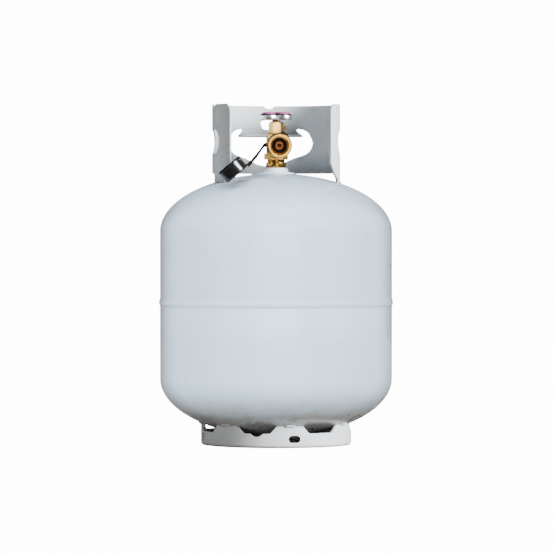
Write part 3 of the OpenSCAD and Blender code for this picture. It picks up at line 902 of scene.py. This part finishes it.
bm = bmesh.new()
n = 360
rows = []
for i in range(n):
    a = TAU * i / n
    tail = lug_at(a, 61, 15.5, 5.6)
    lug = lug_at(a, 176, 11.5, 4.2)
    ridge = 0.10 * math.cos(a * 72) if tail + lug == 0 else 0.0
    rim_r = 14.45 + tail + lug + ridge
    row = []
    for r, y in ((12.08, -0.7), (12.4, -1.05), (rim_r - 0.6, -1.1), (rim_r - 0.15, -0.9),
                 (rim_r, -0.5), (rim_r, 0.5), (rim_r - 0.15, 0.9), (rim_r - 0.6, 1.1), (12.4, 1.05),
                 (12.08, 0.7)):
        row.append(bm.verts.new(Vector((r * math.cos(a), loop_y + y, Z_OUT + r * math.sin(a))) * MM))
    rows.append(row)
skin(bm, rows, loop=True)
finish_mesh("loop_ring", bm, STRAP, "tether_loop", ["strap_loop"], angle=50)

# the strap runs from A at the cap to B at the loop, with a slight sag and shallow cross ribs
A = Vector((-45.7, -73.4, Z_APEX + 9.8))
B = Vector((-18.4, -24.7, Z_OUT + 1.5))
along = (B - A).normalized()
side = along.cross(Vector((0, 1, 0))).normalized()
face = side.cross(along).normalized()
bm = bmesh.new()
n = 150
rows = []
for i in range(n + 1):
    t = i / n
    p = A.lerp(B, t) + Vector((0, 0, -1.2)) * math.sin(math.pi * t)
    w = (2.2 + 0.15 * math.cos(t * TAU) ** 2 - 0.9 * t) * (1 + 0.05 * math.cos(t * TAU * 24))
    h = (0.95 + 0.2 * math.cos(t * TAU * 24)) * (1 - 0.25 * t)
    row = []
    for u, v in ((-1, -0.55), (-0.8, -1), (0, -1.08), (0.8, -1), (1, -0.55), (1, 0.55), (0.8, 1),
                 (0, 1.08), (-0.8, 1), (-1, 0.55)):
        row.append(bm.verts.new((p + side * w * u + face * h * v) * MM))
    rows.append(row)
skin(bm, rows)
strap = finish_mesh("strap_band", bm, STRAP, None, ["cap_strap"], angle=60)
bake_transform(strap)

# ---- stage, light, camera -----------------------------------------------------------------

FLOOR_HALF = 7.0
FLOOR_STRIPS = 24
bm = bmesh.new()
prev = None
for i in range(FLOOR_STRIPS + 1):
    y = FLOOR_HALF * (2 * i / FLOOR_STRIPS - 1)
    row = [bm.verts.new((x, y, -0.0002)) for x in (-FLOOR_HALF, FLOOR_HALF)]
    if prev:
        bm.faces.new((prev[0], prev[1], row[1], row[0]))
    prev = row
me = bpy.data.meshes.new("floor")
bm.to_mesh(me)
bm.free()
floor = bpy.data.objects.new("floor", me)
bpy.context.scene.collection.objects.link(floor)
m = Mat("floor_pale")
tone = m.mix(m.span(m.noise(1.2, 3), 0.3, 0.7, 0, 1), (0.34, 0.30, 0.26), (0.31, 0.275, 0.24))
m.set(Base_Color=tone, Roughness=0.95, Specular_IOR_Level=0.1)
# the camera sees the floor as white as the backdrop, except inside the foot ring
ring_dist = m.add("ShaderNodeVectorMath", operation="LENGTH")
m.link(m.co, ring_dist.inputs[0])
mask = m.span(ring_dist.outputs["Value"], 0.097, 0.101, 0.0, 1.0)
seen = m.add("ShaderNodeLightPath").outputs["Is Camera Ray"]
glow = m.add("ShaderNodeEmission")
m.link(m.math("MULTIPLY", m.math("MULTIPLY", seen, mask), WHITE), glow.inputs["Strength"])
both = m.add("ShaderNodeAddShader")
m.link(m.bsdf.outputs[0], both.inputs[0])
m.link(glow.outputs[0], both.inputs[1])
m.link(both.outputs[0], m.out.inputs[0])
floor.data.materials.append(m.m)

world = bpy.data.worlds.new("studio")
bpy.context.scene.world = world
world.use_nodes = True
nt = world.node_tree
nt.nodes.clear()
out = nt.nodes.new("ShaderNodeOutputWorld")
room = nt.nodes.new("ShaderNodeBackground")
room.inputs[0].default_value = (0.90, 0.96, 1.0, 1)
sky = nt.nodes.new("ShaderNodeTexCoord")
axes = nt.nodes.new("ShaderNodeSeparateXYZ")
nt.links.new(sky.outputs["Generated"], axes.inputs[0])
front = nt.nodes.new("ShaderNodeMapRange")
for i, v in enumerate((-1.0, 0.15, ROOM_FRONT, ROOM_BACK)):
    front.inputs[i + 1].default_value = v
nt.links.new(axes.outputs[1], front.inputs[0])
nt.links.new(front.outputs[0], room.inputs[1])
backdrop = nt.nodes.new("ShaderNodeBackground")
backdrop.inputs[0].default_value = (1, 1, 1, 1)
backdrop.inputs[1].default_value = WHITE
mixer = nt.nodes.new("ShaderNodeMixShader")
path = nt.nodes.new("ShaderNodeLightPath")
nt.links.new(path.outputs["Is Camera Ray"], mixer.inputs[0])
nt.links.new(room.outputs[0], mixer.inputs[1])
nt.links.new(backdrop.outputs[0], mixer.inputs[2])
nt.links.new(mixer.outputs[0], out.inputs[0])


def area(name, loc, target, size, power, color=(1, 1, 1), glossy=True, only=None):
    """A rectangular light the camera doesn't see; only is the pieces it lights, or all of them."""
    d = bpy.data.lights.new(name, "AREA")
    d.energy = power
    d.color = color
    d.shape = "RECTANGLE"
    d.size, d.size_y = size
    o = bpy.data.objects.new(name, d)
    bpy.context.scene.collection.objects.link(o)
    o.location = loc
    o.rotation_euler = (Vector(target) - Vector(loc)).to_track_quat("-Z", "Y").to_euler()
    o.visible_camera = False
    o.visible_glossy = glossy
    if only:
        group = bpy.data.collections.new(name + "_lit")
        for piece in only:
            group.objects.link(piece)
        o.light_linking.receiver_collection = group


def named(*names):
    return [bpy.data.objects[n] for n in names]


mid = (0, 0, 0.25)
shell = named("upper_shell", "lower_shell", "girth_weld", "neck", "neck_weld")
collar_set = named("collar_sheet", "collar_beads")
foot_set = named("foot_sheet", "foot_beads")
fittings = [frame["nodes"][n] for n in FINISH] + named("strap_band", "loop_ring")
wheel = named("wheel_shell", "wheel_disc")
neck = named("neck", "neck_weld")
COOL = (0.97, 0.98, 1.0)
SKY = (0.90, 0.96, 1.0)
WARM = (1.0, 0.93, 0.80)
area("front", (-0.6, -5.6, 1.5), mid, (5.0, 3.6), 330, SKY, only=shell)
area("front_collar", (-0.6, -5.6, 1.5), mid, (5.0, 3.6), 66, only=collar_set)
area("front_foot", (-0.6, -5.6, 1.5), mid, (5.0, 3.6), 235, only=foot_set)
area("side_collar", (-4.2, -0.9, 0.6), mid, (1.2, 1.2), 60, glossy=False, only=collar_set)
area("key", (3.3, -2.6, 1.5), mid, (1.6, 1.8), 1000, COOL, False,
     collar_set + foot_set + neck)
area("key_wheel", (2.6, -2.6, 1.2), (0, 0, 0.44), (2.0, 1.6), 600, only=wheel)
area("left_wheel", (-2.6, -2.6, 1.2), (0, 0, 0.44), (2.4, 1.8), 8, only=wheel)
area("right_fill", (3.2, -2.4, 1.2), mid, (2.2, 2.2), 330, SKY, False, shell)
area("left_fill", (-3.2, -2.4, 1.0), mid, (2.2, 2.2), 290, SKY, False, shell)
area("top", (0.2, -0.6, 2.8), mid, (1.6, 1.6), 55, glossy=False,
     only=shell + foot_set + [floor])
area("back_left", (-2.8, 3.2, 0.75), mid, (1.6, 1.0), 95, COOL, False)
area("back_right", (2.8, 3.2, 0.75), mid, (1.6, 1.0), 115, COOL, False)
area("shoulder", (-2.4, -0.75, 1.95), (0, 0, 0.3), (0.5, 0.5), 5, only=shell)
area("glint_key", (1.8, -1.9, 1.95), (0, 0, 0.38), (1.3, 1.3), 46, WARM, only=fittings)
area("glint_left", (-2.2, -1.5, 1.0), (0, 0, 0.4), (0.25, 1.2), 1.5, WARM, only=fittings)
area("glint_axis", (0.5, -4.9, 0.6), (0, 0, 0.4), (1.3, 0.8), 20, WARM, only=fittings)
area("cap_glint", (1.8, -1.9, 1.95), (0, 0, 0.38), (0.8, 0.8), 420, only=named("cap_cup"))
area("glint_front", (0.1, -3.0, 1.25), (0, 0, 0.4), (0.35, 0.25), 12, WARM, only=fittings)

cam_data = bpy.data.cameras.new("camera")
cam = bpy.data.objects.new("camera", cam_data)
bpy.context.scene.collection.objects.link(cam)
EYE_TURN = math.radians(-6.7)
EYE_FAR = 5.44
EYE_HIGH = 0.306
eye = Vector((EYE_FAR * math.sin(EYE_TURN), -EYE_FAR * math.cos(EYE_TURN), EYE_HIGH))
look = Vector((0.0013, 0.0, 0.2232))
cam.location = eye
cam.rotation_euler = (look - eye).to_track_quat("-Z", "Y").to_euler()
cam_data.sensor_width = 36
cam_data.lens = 264.7
cam_data.clip_end = 60
bpy.context.scene.camera = cam
